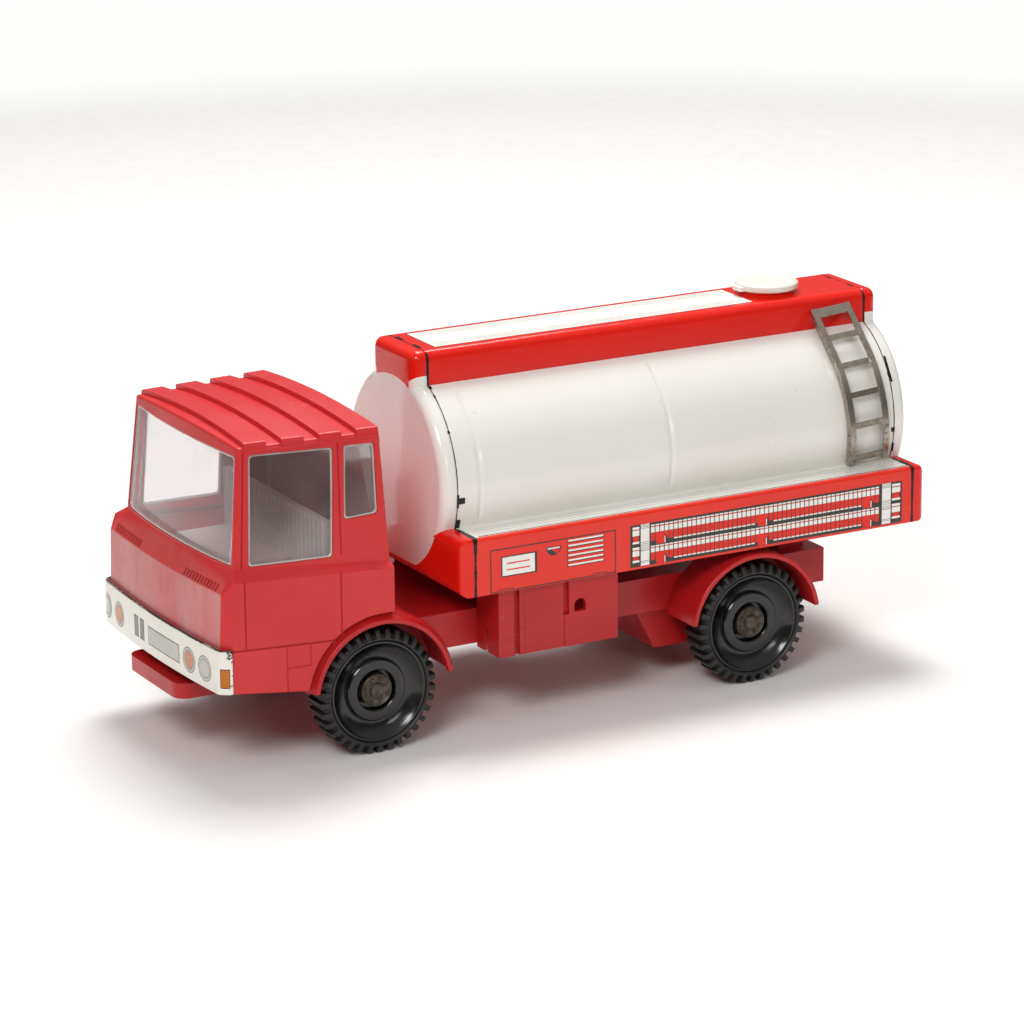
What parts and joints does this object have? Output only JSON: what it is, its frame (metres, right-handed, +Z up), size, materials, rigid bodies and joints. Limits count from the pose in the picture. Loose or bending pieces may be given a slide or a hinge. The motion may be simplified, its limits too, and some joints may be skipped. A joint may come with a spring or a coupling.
{
  "type": "tin toy tanker truck",
  "caption": "Tin and plastic toy tanker lorry with a forward cab, a barrel tank on a skirted body, a side ladder, a pull-out filler cap and a friction flywheel drive.",
  "frame": {"origin": "centre of the whole truck's bounding box, on the ground under the tyres", "axes": "+Z up, the cab faces -Y, +X is the truck's left side, which carries the ladder"},
  "size_m": [0.0966, 0.2728, 0.1289],
  "materials": {
    "frame_plastic": "satin",
    "cab_plastic": "satin",
    "clear_plastic": "clear",
    "grey_plastic": "matte",
    "bumper_tin": "gloss",
    "tank_tin": "gloss",
    "cap_tin": "gloss",
    "bare_tin": "satin",
    "ladder_tin": "worn satin",
    "white_plastic": "satin",
    "axle_steel": "satin",
    "wheel_plastic": "gloss",
    "tyre_black": "matte",
    "hub_metal": "dull",
    "motor_steel": "satin",
    "gear_nylon": "matte",
    "pinion_brass": "satin",
    "flywheel_steel": "satin",
    "screw_steel": "satin"
  },
  "bodies": {
    "truck": {"chassis_frame": "frame_plastic", "fender_front_left": "frame_plastic", "fender_front_right": "frame_plastic", "fender_rear_left": "frame_plastic", "fender_rear_right": "frame_plastic", "side_box_left": "frame_plastic", "side_box_right": "frame_plastic", "motor_housing": "frame_plastic", "cab_shell": "cab_plastic", "cab_glazing": "clear_plastic", "bench_insert": "grey_plastic", "front_bumper": "bumper_tin", "tank_shell": "tank_tin", "tank_front_cap": "cap_tin", "tank_rear_cap": "cap_tin", "tank_floor": "bare_tin", "ladder": "ladder_tin", "motor_frame": "motor_steel", "motor_screws": "screw_steel", "cab_screws": "screw_steel"},
    "front_wheels": {"front_axle": "axle_steel", "wheel_front_left": "wheel_plastic", "wheel_front_right": "wheel_plastic", "tyre_front_left": "tyre_black", "tyre_front_right": "tyre_black", "hub_cap_front_left": "hub_metal", "hub_cap_front_right": "hub_metal"},
    "rear_wheels": {"rear_axle": "axle_steel", "drive_gear": "gear_nylon", "wheel_rear_left": "wheel_plastic", "wheel_rear_right": "wheel_plastic", "tyre_rear_left": "tyre_black", "tyre_rear_right": "tyre_black", "hub_cap_rear_left": "hub_metal", "hub_cap_rear_right": "hub_metal"},
    "idler": {"idler_shaft": "axle_steel", "idler_pinion": "pinion_brass", "idler_gear": "gear_nylon"},
    "flywheel_set": {"flywheel_shaft": "axle_steel", "flywheel_pinion": "pinion_brass", "flywheel": "flywheel_steel"},
    "stopper": {"filler_cap": "white_plastic"}
  },
  "joints": [
    {"name": "front_axle_spin", "type": "hinge", "parent": "truck", "child": "front_wheels", "pos_m": [0, -0.07595, 0.0212], "axis": [1, 0, 0], "continuous": true},
    {"name": "rear_axle_spin", "type": "hinge", "parent": "truck", "child": "rear_wheels", "pos_m": [0, 0.06725, 0.0212], "axis": [1, 0, 0], "continuous": true},
    {"name": "idler_spin", "type": "hinge", "parent": "truck", "child": "idler", "pos_m": [0, 0.05998, 0.0254], "axis": [1, 0, 0], "continuous": true},
    {"name": "flywheel_spin", "type": "hinge", "parent": "truck", "child": "flywheel_set", "pos_m": [0, 0.05177, 0.02358], "axis": [1, 0, 0], "continuous": true},
    {"name": "filler_cap_pull", "type": "slide", "parent": "truck", "child": "stopper", "axis": [0, 0, 1], "range_m": [0, 0.008]}
  ],
  "couplings": [
    {"joint": "idler_spin", "follows": "rear_axle_spin", "ratio": -2.5},
    {"joint": "flywheel_spin", "follows": "rear_axle_spin", "ratio": 6.25}
  ]
}
